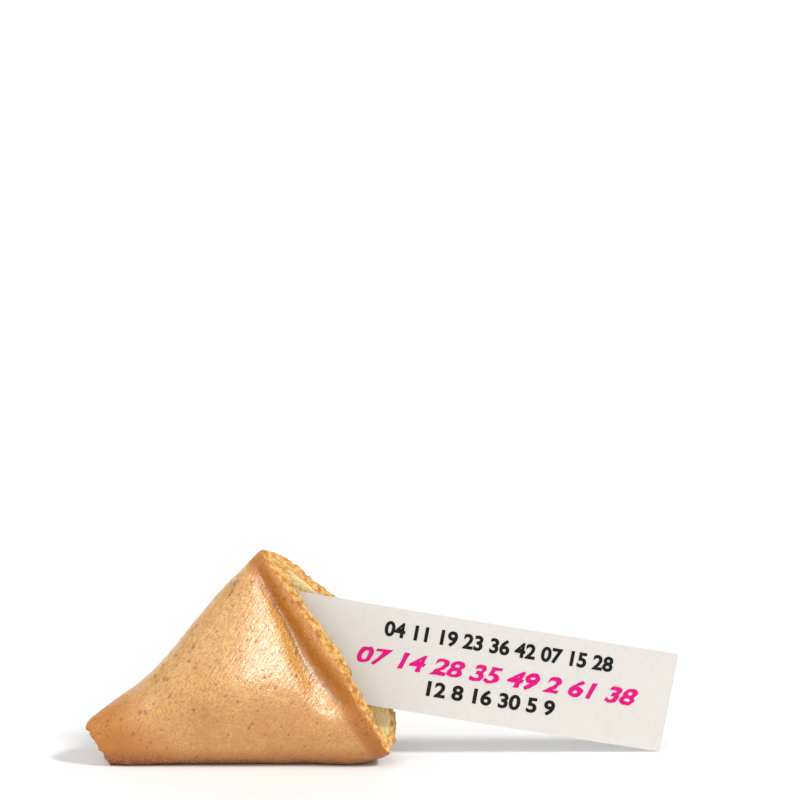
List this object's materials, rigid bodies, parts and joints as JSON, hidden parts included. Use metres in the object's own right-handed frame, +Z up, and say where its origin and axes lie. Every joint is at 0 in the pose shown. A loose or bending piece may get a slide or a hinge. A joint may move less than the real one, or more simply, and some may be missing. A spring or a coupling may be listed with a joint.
{
  "type": "broken fortune cookie half with paper slip",
  "caption": "Half of a folded fortune cookie, snapped across its bend to an open hollow mouth, with its printed paper slip standing in the mouth.",
  "frame": {"origin": "middle of the underside of the whole part, cookie and slip, on the surface it stands on", "axes": "+X along the slip from the cookie's tip towards the slip's free end, +Y from the cookie's front belly to its back, +Z up from the underside to the apex"},
  "size_m": [0.0876, 0.0194, 0.0318],
  "materials": {
    "baked_wafer": "golden baked wafer, satin",
    "slip_paper": "matte uncoated paper"
  },
  "bodies": {
    "root": {"cookie_half": "baked_wafer", "paper_slip": "slip_paper"}
  },
  "joints": []
}
